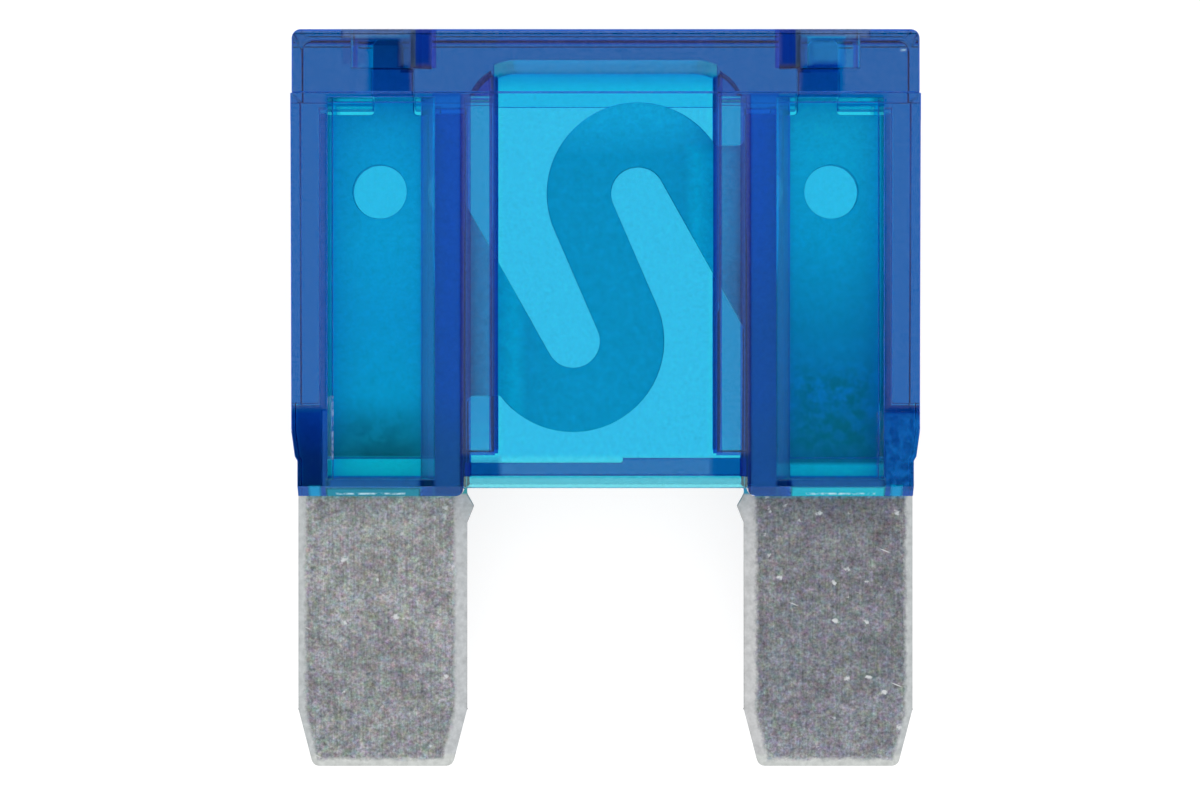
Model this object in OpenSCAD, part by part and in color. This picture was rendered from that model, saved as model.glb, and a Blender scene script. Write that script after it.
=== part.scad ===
// Large blade fuse of the automotive kind, lying on the back of its head.
// X runs across the two blades, Y from the blade tips to the head, Z out of the front face.
// The origin is the centre of the footprint, on the surface that the fuse lies on.

/* [Housing] */
// Width of the housing just under the head
housing_w = 29.2; // [28.9:0.1:31]
// Height of the housing from the feet of its legs to the top of its head
housing_h = 21.6; // [21:0.1:24]
// Depth of the body, front to back
body_d = 8.1; // [7.8:0.1:9]
// How far each side of the head is set in from the widest part of the body
head_in = 0.1; // [0:0.05:0.3]
// Height of the head above its ledge
head_h = 2.92; // [2.7:0.02:3.4]
// How far the head stands out past the body, front and back
head_out = 0.4; // [0.2:0.05:0.8]
// Radius of the head's outer corners, seen from the front
head_corner_r = 0.45; // [0.2:0.05:1]
// Radius along the two upper edges of the head, front and back
top_r = 0.15; // [0.1:0.05:0.6]
// Radius along the outer edges at the sides of head and body
edge_r = 0.06; // [0.04:0.02:0.3]
// How far each side tapers in from the ledge down to the notch
side_taper = 0.05; // [0:0.01:0.2]
// Height of the notch in each side above the foot
notch_h = 1.85; // [1.2:0.05:2.6]
// How far the side is set in at the lower end of the slanted part
notch_lip = 0.16; // [0.05:0.01:0.25]
// How far the leg is set back below the notch
notch_in = 0.28; // [0.1:0.02:0.4]
// Height of the step from the notch's lip to the leg
notch_step = 0.2; // [0.1:0.05:0.4]
// Height of the slanted part of the side above the notch
notch_slant_h = 1.15; // [0.6:0.05:1.6]
// How far the lower edge between the legs stands above the feet
arch_rise = 0.38; // [0.1:0.02:0.6]
// Radius of the inner corner at each foot
foot_r = 0.35; // [0.1:0.05:0.36]
// Width of the bevel along the front and back edges of each foot
foot_bevel = 0.45; // [0.2:0.05:0.7]

/* [Chamber] */
// Thickness of the front and back walls of the body
wall = 0.95; // [0.8:0.05:1.2]
// Thickness of plastic above the chamber
roof_t = 1.36; // [1.1:0.02:1.8]
// Radius of the chamber's two upper corners, seen from the front
roof_r = 2.4; // [1.6:0.1:3]
// Width of each rib at the chamber's sides, at its tip
rib_w = 1.25; // [0.8:0.05:1.5]
// How much wider the rib is at its root
rib_draft = 0.15; // [0:0.05:0.5]
// Gap between the front and the back rib
rib_gap = 3.3; // [2.4:0.1:4]
// Height of the slanted lead-in at the ribs' lower ends
rib_lead_h = 1.25; // [0.8:0.05:1.8]
// Depth of that lead-in at the ribs' lower ends
rib_lead_d = 0.45; // [0.2:0.05:0.8]

/* [Blade pockets] */
// Width of a pocket at its floor
pocket_w = 4.2; // [3.6:0.02:4.6]
// Distance from the chamber's side wall to the pocket's floor
rail_w = 2.05; // [1.8:0.05:2.4]
// How much wider the pocket is at the surface, on its inner side
pocket_slope = 0.75; // [0.3:0.05:1]
// How much wider the pocket is at the surface, on its outer side
pocket_draft = 0.02; // [0:0.02:0.3]
// Thickness of the pocket's floor over the blade
pocket_floor = 1.05; // [0.8:0.05:1.4]
// Height of the sill between the pocket and the foot
sill_h = 0.78; // [0.5:0.02:1.2]
// Distance from the ledge down to the pocket's upper end
pocket_drop = 0.2; // [0.1:0.02:0.5]
// Height of the pressed band at the pocket's lower end
press_h = 0.95; // [0.5:0.05:1.4]
// Depth of the pressed band below the pocket's floor
press_depth = 0.2; // [0.05:0.05:0.4]

/* [Probe wells] */
// How far a well reaches past the probe tab, towards the fuse's middle
well_in = 0.92; // [0.7:0.02:1.2]
// Length of a well across the head
well_l = 3.8; // [3.4:0.1:4.4]
// Width of a well, front to back
well_w = 1.8; // [1.4:0.1:2.6]
// Depth of a well below the top of the head
well_depth = 1.6; // [1.3:0.05:1.9]
// Length of the pointed inner end of a well
well_point = 1.0; // [0.6:0.05:1.3]
// Radius of the corners at a well's outer end
well_r = 0.25; // [0.1:0.05:0.4]

/* [Fuse element] */
// Width of a blade
blade_w = 8.0; // [7.8:0.1:8.2]
// Thickness of a blade
blade_t = 0.8; // [0.7:0.05:0.9]
// How far a blade's outer edge lies inside the widest part of the housing
blade_in = 0.03; // [0:0.01:0.1]
// Length of a blade below the foot of the housing
blade_out = 12.9; // [11:0.1:14]
// Height of the shoulder above the foot, up to which the blade has its full width
shoulder_h = 4.22; // [3.6:0.02:5]
// How far the outer edge is set in above the shoulder
shoulder_in = 1.15; // [1.1:0.05:1.5]
// Distance from the ledge down to the upper edge of the blades
blade_drop = 0.75; // [0.6:0.05:1.2]
// Diameter of the locating hole in each blade
hole_d = 2.55; // [2:0.05:3]
// Distance from the blade's outer edge to the hole's centre
hole_in = 3.9; // [3.4:0.1:4.6]
// Distance from the blade's upper edge to the hole's centre
hole_drop = 3.62; // [3:0.02:5]
// How far the sides of a blade close in at its tip
tip_in = 0.7; // [0.3:0.05:1.2]
// Length of the narrowed tip
tip_l = 2.7; // [1.5:0.1:4]
// Radius of the two corners at the tip
tip_r = 0.4; // [0.2:0.05:0.8]
// Width of the coined bevel along a blade's outer side and its tip
bevel_w = 0.48; // [0.2:0.02:0.8]
// Width of the coined bevel along a blade's inner side
bevel_inner_w = 0.6; // [0.2:0.02:0.8]
// Depth of the coined bevel on each face
bevel_t = 0.2; // [0.1:0.02:0.3]
// How far the sprue mark stands out of a blade's inner edge
nub_out = 0.33; // [0.1:0.01:0.5]
// Length of the sprue mark
nub_l = 1.4; // [0.8:0.1:2]
// Distance from the blade's narrow edge above the shoulder to the probe tab
tab_in = 2.5; // [2.2:0.05:2.8]
// Width of the probe tab's neck
tab_w = 1.85; // [1.5:0.05:2.1]
// Width of the probe tab's tip
tab_tip_w = 1.4; // [1:0.05:1.45]
// Distance from the probe tab's tip down from the top of the head
tab_sink = 0.2; // [0.1:0.05:0.6]
// Radius where the neck meets the blade
neck_r = 0.22; // [0.1:0.02:0.3]

/* [Fusible link] */
// Width of the link
link_w = 3.04; // [2.4:0.02:3.4]
// Thickness of the link
link_t = 0.6; // [0.4:0.05:0.7]
// Tilt of the link's middle bar from upright, in degrees
link_tilt = 23.35; // [20:0.5:26]
// Radius at the closed end of each slot beside the bar
slot_r = 1.27; // [1:0.01:1.5]
// Distance from the link's upper end down to the shelf of its right root
root_drop = 2.07; // [1.8:0.01:2.6]
// How much nearer to the link's lower end the shelf of the left root lies
root_extra = 0.35; // [0:0.05:0.4]
// Distance below the link's centre at which the right slot ends on the blade
root_foot = 2.92; // [2.4:0.02:3.4]
// Radius where the root meets the blade
root_r = 0.4; // [0.2:0.05:0.6]

/* [Closing bar] */
// Height of the bar that closes the chamber
bar_h = 0.62; // [0.5:0.02:0.8]
// How far the bar is set in from the lower edge between the legs
bar_in = 0.55; // [0.3:0.05:0.6]
// Extra height of the bar over most of its right half
bar_step = 0.22; // [0.04:0.02:0.3]
// Distance from the fuse's middle to the start of the higher part
bar_step_x = 0.8; // [0.4:0.1:2]

/* [Fits] */
// Gap between the element and its slot, on each face
slot_gap = 0.05; // [0.03:0.01:0.1]
// Gap between the element's edges and its slot
edge_gap = 0.1; // [0.05:0.01:0.2]
// Gap between the upper edge of the blades and the end of their slot
end_gap = 0.27; // [0.15:0.01:0.4]
// Gap between the closing bar and what stands around it
bar_gap = 0.03; // [0.02:0.01:0.08]
// Gap between the closing bar and the ribs' lower ends
rib_foot_gap = 0.31; // [0.1:0.01:0.5]
// Gap between the link's upper end and the level of the ledge
link_top_gap = 0.146; // [0.05:0.002:0.3]
// Gap between the link's lower end and the higher part of the closing bar
link_foot_gap = 1.176; // [0.8:0.002:1.6]

/* [Hidden] */

$fn = 64;
eps = 0.01;
far = 60;
// How far a cutting shape runs past the plastic or the metal
past = 1;
// A straight side crosses a round end by this much, where it would otherwise only touch it
cross = 0.004;
// How far a bevel's prism runs past both ends of its edge
bevel_over = 0.4;
// Share of the sprue mark's length that lies above its peak
nub_peak = 0.4;

plastic_colour = [0.10, 0.38, 0.80, 0.55];
bar_colour = [0.06, 0.28, 0.70, 0.70];
metal_colour = [0.62, 0.63, 0.65];

head_w = housing_w - 2 * head_in;
head_d = body_d + 2 * head_out;
overall_h = housing_h + blade_out;
y_top = overall_h / 2;
y_ledge = y_top - head_h;
y_foot = y_top - housing_h;
y_arch = y_foot + arch_rise;
y_tip = -y_top;
z_mid = head_d / 2;

blade_outer = housing_w / 2 - blade_in;
blade_inner = blade_outer - blade_w;
strip_outer = blade_outer - shoulder_in;
y_blade_top = y_ledge - blade_drop;
y_shoulder = y_foot + shoulder_h;
tab_outer = strip_outer - tab_in;
y_tab_top = y_top - tab_sink;
well_x = tab_outer - tab_w - well_in;
y_well = y_top - well_depth;

chamber_x = blade_inner + bar_gap;
chamber_d = body_d - 2 * wall;
y_roof = y_top - roof_t;
rib_tip_x = chamber_x - rib_w;
rib_root_x = rib_tip_x - rib_draft;
slot_d = blade_t + 2 * slot_gap;
y_slot_end = y_blade_top + end_gap;

pocket_x = chamber_x + rail_w;
pocket_floor_z = slot_d / 2 + pocket_floor;
pocket_top = y_ledge - pocket_drop;
pocket_foot = y_foot + sill_h;

bar_d = chamber_d - 2 * bar_gap;
y_bar_low = y_arch + bar_in;
y_bar_top = y_bar_low + bar_h + bar_step;
y_rib_foot = y_bar_top + rib_foot_gap;

y_link_top = y_ledge - link_top_gap;
y_link_foot = y_bar_top + link_foot_gap;
y_link = (y_link_top + y_link_foot) / 2;
link_half = (y_link_top - y_link_foot) / 2;
hook_r = slot_r + link_w;
slot_reach = (link_half - hook_r - (link_w / 2 + slot_r) * sin(link_tilt)) / cos(link_tilt);
hook = slot_reach * [-sin(link_tilt), cos(link_tilt)]
     + (link_w / 2 + slot_r) * [cos(link_tilt), sin(link_tilt)];

// A rectangle with round corners, centred on the origin
module round_rect(w, h, r) {
    square([w - 2 * r, h], center = true);
    square([w, h - 2 * r], center = true);
    for (sx = [-1, 1], sy = [-1, 1])
        translate([sx * (w / 2 - r), sy * (h / 2 - r)]) circle(r);
}

// The child's outline in X and Z, drawn about the middle plane and swept along Y
module along_y(y0, y1) {
    translate([0, y1, z_mid]) rotate([90, 0, 0]) linear_extrude(y1 - y0) children();
}

// The child's outline in X and Y, swept to a depth that is centred on the middle plane
module along_z(d) {
    translate([0, 0, z_mid - d / 2]) linear_extrude(d) children();
}

// The child's outline in Z and Y, drawn about the middle plane and swept across X
module along_x(x0, x1) {
    translate([x0, 0, z_mid]) rotate([0, 90, 0]) linear_extrude(x1 - x0) rotate(90) children();
}

// The child and its mirror image on the other side of the fuse
module both_sides() {
    children();
    mirror([1, 0, 0]) children();
}

// Housing

// Front view of the body's right half, with the notch in its side and the foot
module body_outline() {
    side = housing_w / 2;
    y_notch = y_foot + notch_h;
    x_notch = side - side_taper - notch_lip;
    x_leg = side - side_taper - notch_in;
    difference() {
        polygon([
            [-eps, y_ledge + eps], [side, y_ledge + eps],
            [side - side_taper, y_notch + notch_slant_h], [x_notch, y_notch],
            [x_leg, y_notch - notch_step], [x_leg, y_foot],
            [chamber_x, y_foot], [chamber_x, y_arch], [-eps, y_arch]
        ]);
        translate([chamber_x, y_foot]) foot_round();
    }
}

// Corner piece that rounds the inner corner of a foot
module foot_round() {
    difference() {
        translate([-eps, -eps]) square(foot_r + eps);
        translate([foot_r, foot_r]) circle(foot_r);
    }
}

module body() {
    difference() {
        intersection() {
            along_z(body_d) both_sides() body_outline();
            along_y(y_foot - eps, y_ledge + past) round_rect(housing_w, body_d, edge_r);
        }
        both_sides() foot_bevels();
    }
}

// What the bevels take off one foot, front and back
module foot_bevels() {
    along_x(chamber_x - eps, far)
        for (s = [-1, 1])
            polygon([
                [y_foot - eps, s * (body_d / 2 + eps)],
                [y_foot + foot_bevel + eps, s * (body_d / 2 + eps)],
                [y_foot - eps, s * (body_d / 2 - foot_bevel - eps)]
            ]);
}

module head() {
    intersection() {
        along_z(head_d) translate([0, (y_top + y_ledge) / 2]) head_outline();
        along_y(y_ledge, y_top) round_rect(head_w, head_d, edge_r);
        along_x(-head_w, head_w) head_side();
    }
}

// Front view of the head: round upper corners and square lower ones
module head_outline() {
    round_rect(head_w, head_h, head_corner_r);
    translate([-head_w / 2, -head_h / 2]) square([head_w, head_h / 2]);
}

// Side view of the head: its two upper edges are round
module head_side() {
    translate([y_top - 2 * top_r, 0]) round_rect(4 * top_r, head_d, top_r);
    translate([y_ledge - eps, -head_d / 2]) square([head_h - 2 * top_r, head_d]);
}

// Front view of the space that the link lies in, with its two large upper corners
module chamber_outline(half_w) {
    intersection() {
        union() {
            round_rect_top(chamber_x, roof_r);
            translate([-chamber_x, y_foot - past]) square([2 * chamber_x, y_roof - roof_r - y_foot + past]);
        }
        translate([-half_w, y_foot - 2 * past]) square([2 * half_w, far]);
    }
}

// The upper end of the chamber, between its two round corners
module round_rect_top(half_w, r) {
    translate([-half_w + r, y_roof - r - eps]) square([2 * (half_w - r), r + eps]);
    for (s = [-1, 1]) translate([s * (half_w - r), y_roof - r]) circle(r);
}

// Section of the chamber between the ribs: wide at the walls, narrow at the ribs' tips
module chamber_section() {
    for (s = [-1, 1])
        polygon([
            [-rib_tip_x, 0], [-rib_tip_x, s * rib_gap / 2], [-rib_root_x, s * chamber_d / 2],
            [rib_root_x, s * chamber_d / 2], [rib_tip_x, s * rib_gap / 2], [rib_tip_x, 0]
        ]);
}

module chamber() {
    // The window between the ribs
    intersection() {
        along_z(chamber_d) chamber_outline(chamber_x);
        along_y(y_foot - past, y_roof + past) chamber_section();
    }
    // The space between the front and the back ribs, up to the ledge
    along_z(rib_gap)
        translate([-chamber_x, y_foot - past]) square([2 * chamber_x, y_ledge - y_foot + past]);
    // The thin space above it, as deep as the slots of the blades
    along_z(slot_d) chamber_outline(chamber_x);
    // The slanted lead-in at the ribs' lower ends and the open mouth below it
    along_x(-chamber_x, chamber_x)
        for (s = [-1, 1])
            polygon([
                [y_foot - past, 0], [y_foot - past, s * chamber_d / 2],
                [y_rib_foot, s * chamber_d / 2], [y_rib_foot, s * (rib_gap / 2 + rib_lead_d)],
                [y_rib_foot + rib_lead_h, s * rib_gap / 2], [y_rib_foot + rib_lead_h, 0]
            ]);
}

// Slot of one blade, open at the foot, and at the side where the blade has its full width
module blade_slot() {
    along_z(slot_d) {
        translate([rib_tip_x, y_foot - past])
            square([strip_outer + edge_gap - rib_tip_x, y_slot_end - y_foot + past]);
        translate([rib_tip_x, y_foot - past])
            square([far, y_shoulder + edge_gap - y_foot + past]);
        translate([tab_outer - tab_w - edge_gap, y_foot])
            square([tab_w + 2 * edge_gap, y_well - y_foot + eps]);
    }
}

// Well in the top of the head, with a pointed inner end
module probe_well() {
    x_outer = well_x + well_l - 2 * well_r;
    along_y(y_well, y_top + past) {
        polygon([
            [well_x, 0], [well_x + well_point, well_w / 2], [x_outer, well_w / 2],
            [x_outer, -well_w / 2], [well_x + well_point, -well_w / 2]
        ]);
        translate([x_outer, 0]) round_rect(4 * well_r, well_w, well_r);
    }
}

// Pocket over one blade, on the side of the face that s points to
module pocket(s) {
    z0 = s * pocket_floor_z;
    z1 = s * (head_d / 2 + past);
    rise = body_d / 2 - pocket_floor_z;
    k = (head_d / 2 + past - pocket_floor_z) / rise;
    along_y(pocket_foot, pocket_top)
        polygon([
            [pocket_x, z0], [pocket_x - k * pocket_slope, z1],
            [pocket_x + pocket_w + k * pocket_draft, z1], [pocket_x + pocket_w, z0]
        ]);
    // The band that was pressed onto the blade
    along_y(pocket_foot, pocket_foot + press_h)
        polygon([
            [pocket_x, z0 + s * eps], [pocket_x, z0 - s * press_depth],
            [pocket_x + pocket_w, z0 - s * press_depth], [pocket_x + pocket_w, z0 + s * eps]
        ]);
}

module housing() {
    color(plastic_colour)
    difference() {
        union() {
            body();
            head();
        }
        chamber();
        both_sides() {
            blade_slot();
            probe_well();
            for (s = [-1, 1]) pocket(s);
        }
    }
}

// Closing bar

module closing_bar() {
    half = blade_inner - bar_gap;
    color(bar_colour)
    along_z(bar_d) {
        translate([-half, y_bar_low]) square([2 * half, bar_h]);
        translate([bar_step_x, y_bar_low]) square([half - bar_step_x, bar_h + bar_step]);
    }
}

// Fuse element

// Outline of one blade with its probe tab
module blade_outline() {
    polygon([
        [blade_inner, y_blade_top], [strip_outer, y_blade_top],
        [strip_outer, y_shoulder], [blade_outer, y_shoulder],
        [blade_outer, y_tip + tip_l - eps], [blade_inner, y_tip + tip_l - eps]
    ]);
    blade_tip();
    // Sprue mark on the inner edge, just below the housing
    polygon([
        [blade_inner + eps, y_foot + slot_gap], [blade_inner - nub_out, y_foot - nub_l * nub_peak],
        [blade_inner + eps, y_foot - nub_l]
    ]);
    probe_tab();
}

// The narrowed end of a blade, with its two corners rounded where the sides meet the tip
module blade_tip() {
    lean = atan2(tip_in, tip_l);
    reach = tip_r / tan(45 + lean / 2);
    corner = [blade_w / 2 - tip_in, 0];
    centre = [corner[0] - reach, tip_r];
    beyond = 1.1;
    translate([blade_inner + blade_w / 2, y_tip])
        difference() {
            polygon([[-blade_w / 2, tip_l], [-corner[0], 0], corner, [blade_w / 2, tip_l]]);
            for (s = [0, 1]) mirror([s, 0]) translate(centre)
                difference() {
                    polygon([
                        [0, 0], [0, -beyond * tip_r], beyond * (corner - centre),
                        beyond * tip_r * [cos(lean), -sin(lean)]
                    ]);
                    circle(tip_r);
                }
        }
}

// Probe tab: a neck, a narrower tip with round corners, and fillets at its root
module probe_tab() {
    r = tab_tip_w / 4;
    neck_x = tab_outer - tab_w;
    translate([neck_x, y_blade_top - eps]) square([tab_w, y_well - y_blade_top + eps]);
    translate([tab_outer - tab_tip_w, y_well - eps])
        square([tab_tip_w, y_tab_top - r - y_well + eps]);
    translate([tab_outer - tab_tip_w / 2, y_tab_top - 2 * r]) round_rect(tab_tip_w, 4 * r, r);
    for (s = [-1, 1])
        translate([neck_x + tab_w / 2 + s * tab_w / 2, y_blade_top])
            difference() {
                translate([-neck_r, -eps])
                    square([2 * neck_r, neck_r + eps]);
                translate([s * neck_r, neck_r]) circle(neck_r);
                translate([-s * neck_r - neck_r, -2 * eps])
                    square([2 * neck_r, eps]);
            }
}

// A prism that takes a bevel of width w off one edge, on the face that s points to.
// It runs from p to q, with the metal to the left of that direction.
module bevel_cut(p, q, w, s) {
    run = q - p;
    translate([p[0], p[1], z_mid + s * blade_t / 2])
        rotate([0, 0, atan2(run[1], run[0])])
        rotate([90, 0, 90])
        translate([0, 0, -bevel_over])
        linear_extrude(norm(run) + 2 * bevel_over)
        polygon([[w, s * eps], [-past, s * eps], [-past, -s * bevel_t], [0, -s * bevel_t], [w, 0]]);
}

// One blade, bevelled all round where it stands out of the housing
module blade() {
    inner_tip = [blade_inner + tip_in, y_tip];
    outer_tip = [blade_outer - tip_in, y_tip];
    inner_side = [blade_inner, y_tip + tip_l];
    outer_side = [blade_outer, y_tip + tip_l];
    edges = [
        [[blade_inner, y_foot + edge_gap], inner_side, bevel_inner_w],
        [inner_side, inner_tip, bevel_inner_w],
        [inner_tip, outer_tip, bevel_w],
        [outer_tip, outer_side, bevel_w],
        [outer_side, [blade_outer, y_foot - bevel_over], bevel_w]
    ];
    difference() {
        along_z(blade_t)
            difference() {
                blade_outline();
                translate([blade_outer - hole_in, y_blade_top - hole_drop]) circle(d = hole_d);
            }
        for (e = edges, s = [-1, 1]) bevel_cut(e[0], e[1], e[2], s);
    }
}

// Upper hook of the link with its root on the right blade, drawn about the link's centre.
// The root's upper edge is a shelf at height top. The slot's far side runs from its round end
// down to the blade.
module half_link(top) {
    bar_side = [cos(link_tilt), sin(link_tilt)];
    along = [sin(link_tilt), -cos(link_tilt)];
    root_low = [blade_inner, -root_foot];
    to_hook = hook - root_low;
    side_r = slot_r - cross;
    side_angle = atan2(to_hook[1], to_hook[0]) - asin(side_r / norm(to_hook));
    root_top = hook + side_r * [sin(side_angle), -cos(side_angle)];
    slot_left = hook - side_r * bar_side;
    difference() {
        union() {
            translate(hook) circle(hook_r + 2 * cross, $fn = 128);
            polygon([
                hook, root_low - [0, slot_r], [blade_inner + eps, root_low[1] - slot_r],
                [blade_inner + eps, top], [hook[0] + slot_r, top]
            ]);
            translate([blade_inner - root_r, top - eps])
                difference() {
                    square([root_r + eps, root_r + eps]);
                    translate([0, root_r + eps]) circle(root_r);
                }
        }
        translate(hook) circle(slot_r);
        polygon([
            slot_left, root_top, root_low, root_low - [0, 2 * hook_r], slot_left + 2 * hook_r * along
        ]);
    }
}

// The whole link: two hooks turned half round about its centre, and the bar between them
module link() {
    bar_l = 2 * slot_reach;
    translate([0, y_link]) {
        half_link(link_half - root_drop);
        rotate(180) half_link(link_half - root_drop + root_extra);
        rotate(link_tilt) square([link_w + 3 * cross, bar_l], center = true);
    }
}

module fuse_element() {
    color(metal_colour) {
        both_sides() blade();
        along_z(link_t) link();
    }
}

housing();
closing_bar();
fuse_element();
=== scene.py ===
"""A large blade fuse, lying on a white table and seen from straight above.

The housing and its closing bar are clear blue polycarbonate, and the element inside them is
stamped zinc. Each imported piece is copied, its edges are softened as moulding and stamping soften
them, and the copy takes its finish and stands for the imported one.
"""

import logging
import math
from dataclasses import dataclass
from enum import Enum

import bpy
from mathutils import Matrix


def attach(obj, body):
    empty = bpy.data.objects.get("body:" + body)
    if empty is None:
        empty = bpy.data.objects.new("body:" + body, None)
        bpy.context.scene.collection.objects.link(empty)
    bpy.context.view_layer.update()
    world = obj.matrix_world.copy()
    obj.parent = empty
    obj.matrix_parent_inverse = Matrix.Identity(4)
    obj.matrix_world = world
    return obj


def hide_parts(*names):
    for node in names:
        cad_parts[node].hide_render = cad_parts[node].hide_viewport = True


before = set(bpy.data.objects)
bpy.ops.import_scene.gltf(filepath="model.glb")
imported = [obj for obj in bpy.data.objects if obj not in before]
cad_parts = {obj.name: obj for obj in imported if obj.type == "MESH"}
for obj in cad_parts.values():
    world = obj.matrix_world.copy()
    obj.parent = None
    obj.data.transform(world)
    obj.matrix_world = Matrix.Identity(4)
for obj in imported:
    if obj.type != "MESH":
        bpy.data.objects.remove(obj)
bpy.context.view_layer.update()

LOG = logging.getLogger("blade_fuse")
MM = 0.001
BODY = "root"
WHITE = "#FFFFFF"
Colour = tuple[float, float, float, float]
Stops = tuple[tuple[float, str], ...]
Tree = bpy.types.NodeTree
Socket = bpy.types.NodeSocket

# Depths in the fuse's own millimetres, up from the table
WHOLE_DEPTH = (-5.0, 15.0)
FRONT = (5.0, 15.0)
FRONT_WALL = (7.53, 15.0)
INNER_FACES = (1.0, 7.6)

# Where nearly all values of a noise lie, the fine structure of the softer noises, and the values
# between which a cloud begins
NOISE_RANGE = (0.25, 0.75)
SOFT_NOISE = {"Detail": 3.0, "Roughness": 0.65}
CLOUD_EDGE = (0.4, 0.6)

# How far out a grown mask ends, in fades
GROWN_FADE = 1.5

# Sockets of a Mix node, whose names repeat for each kind of data
FACTOR = 0
UNDER_VALUE, OVER_VALUE, MIXED_VALUE = 2, 3, 0
UNDER_COLOUR, OVER_COLOUR, MIXED_COLOUR = 6, 7, 2


def linear(code: str) -> Colour:
    """Turns an sRGB colour into the linear values that the shaders take.

    Args:
        code: The colour as six hexadecimal digits after a hash.

    Returns:
        Red, green and blue in linear light, with full alpha.
    """
    parts = [int(code[i : i + 2], 16) / 255 for i in (1, 3, 5)]
    values = [c / 12.92 if c <= 0.04045 else ((c + 0.055) / 1.055) ** 2.4 for c in parts]
    return (values[0], values[1], values[2], 1.0)


def add_node(
    tree: Tree, kind: str, settings: dict | None = None, links: dict | None = None
) -> bpy.types.Node:
    """Adds one node with its settings and its links.

    Args:
        tree: The node tree that the node goes into.
        kind: The node's type name.
        settings: Values by name. A property's name sets that property of the node, and any other
            name or number sets the input of that name or number.
        links: For each input's name or number, the output socket that feeds it.

    Returns:
        The new node.
    """
    node = tree.nodes.new(kind)
    settings = settings or {}
    own = [name for name in settings if isinstance(name, str) and hasattr(node, name)]
    for name in own:
        setattr(node, name, settings[name])
    for name in [n for n in settings if n not in own]:
        node.inputs[name].default_value = settings[name]
    for name, socket in (links or {}).items():
        tree.links.new(socket, node.inputs[name])
    return node


def empty_material(name: str) -> tuple[bpy.types.Material, Tree]:
    """Makes a material with an empty node tree.

    Args:
        name: The material's name.

    Returns:
        The material and its tree.
    """
    material = bpy.data.materials.new(name)
    material.use_nodes = True
    material.node_tree.nodes.clear()
    return material, material.node_tree


class Sides(Enum):
    """Which half of the fuse a zone lies in.

    RIGHT takes a zone's numbers as they stand, so such a zone may reach across the middle. LEFT
    mirrors them, and BOTH is for the same place in either half.
    """

    LEFT = -1
    RIGHT = 1
    BOTH = 0


@dataclass(frozen=True)
class Canvas:
    """The node tree that a finish is painted in, with what all its zones share.

    place carries a point's coordinates, folded the same with both halves of the fuse laid on
    each other, and cloud the clouding, from 0 to 1.
    """

    tree: Tree
    place: Socket
    folded: Socket
    cloud: Socket

    @classmethod
    def stretch(cls, tree: Tree, cloud_mm: float) -> "Canvas":
        """Adds the coordinates and the clouding to a tree.

        Args:
            tree: The material's tree.
            cloud_mm: Size of the clouds.

        Returns:
            The canvas.
        """
        place = add_node(tree, "ShaderNodeTexCoord").outputs["Object"]
        parts = add_node(tree, "ShaderNodeSeparateXYZ", links={0: place})
        across = add_node(tree, "ShaderNodeMath", {"operation": "ABSOLUTE"}, {0: parts.outputs[0]})
        folded = add_node(
            tree,
            "ShaderNodeCombineXYZ",
            links={0: across.outputs[0], 1: parts.outputs[1], 2: parts.outputs[2]},
        )
        noise = add_node(
            tree,
            "ShaderNodeTexNoise",
            {"Scale": 1 / (cloud_mm * MM), **SOFT_NOISE},
            {"Vector": place},
        )
        thin, thick = CLOUD_EDGE
        cloud = add_node(
            tree,
            "ShaderNodeMapRange",
            {"From Min": thin, "From Max": thick},
            {"Value": noise.outputs[0]},
        )
        return cls(tree, place, folded.outputs[0], cloud.outputs[0])


@dataclass(frozen=True)
class Zone:
    """A box in the fuse's own millimetres, whose edges fade over a short way."""

    x: tuple[float, float]
    y: tuple[float, float]
    sides: Sides = Sides.BOTH
    fade_mm: float = 0.1
    z: tuple[float, float] = WHOLE_DEPTH

    def distance(self, canvas: Canvas) -> Socket:
        """Adds the distance from the zone's edge, which is below 0 inside the zone.

        Args:
            canvas: The canvas that the zone is painted on.

        Returns:
            The socket that carries the distance in metres.
        """
        tree = canvas.tree
        side = self.sides.value or 1
        ranges = (self.x, self.y, self.z)
        middle = [(low + high) / 2 * MM for low, high in ranges]
        half = tuple((high - low) / 2 * MM for low, high in ranges)
        offset = add_node(
            tree,
            "ShaderNodeVectorMath",
            {"operation": "SUBTRACT", 1: (side * middle[0], middle[1], middle[2])},
            {0: canvas.folded if self.sides is Sides.BOTH else canvas.place},
        )
        reach = add_node(
            tree, "ShaderNodeVectorMath", {"operation": "ABSOLUTE"}, {0: offset.outputs[0]}
        )
        past = add_node(
            tree, "ShaderNodeVectorMath", {"operation": "SUBTRACT", 1: half}, {0: reach.outputs[0]}
        )
        split = add_node(tree, "ShaderNodeSeparateXYZ", links={0: past.outputs[0]})
        far = split.outputs[0]
        for other in (split.outputs[1], split.outputs[2]):
            far = add_node(
                tree, "ShaderNodeMath", {"operation": "MAXIMUM"}, {0: far, 1: other}
            ).outputs[0]
        return far

    def mask(
        self, canvas: Canvas, full: float = 1.0, grown: bool = False, far: Socket | None = None
    ) -> Socket:
        """Adds the nodes that are full inside the zone and 0 outside it.

        Args:
            canvas: The canvas that the zone is painted on.
            full: The value inside.
            grown: Whether the mask fades outside the zone, and not across its edge.
            far: The zone's distance, where it is there already.

        Returns:
            The socket that carries the mask.
        """
        fade = self.fade_mm * MM
        start, end = (fade, GROWN_FADE * fade) if grown else (-fade, fade)
        return add_node(
            canvas.tree,
            "ShaderNodeMapRange",
            {"From Min": start, "From Max": end, "To Min": full, "To Max": 0.0},
            {"Value": far or self.distance(canvas)},
        ).outputs[0]


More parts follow.
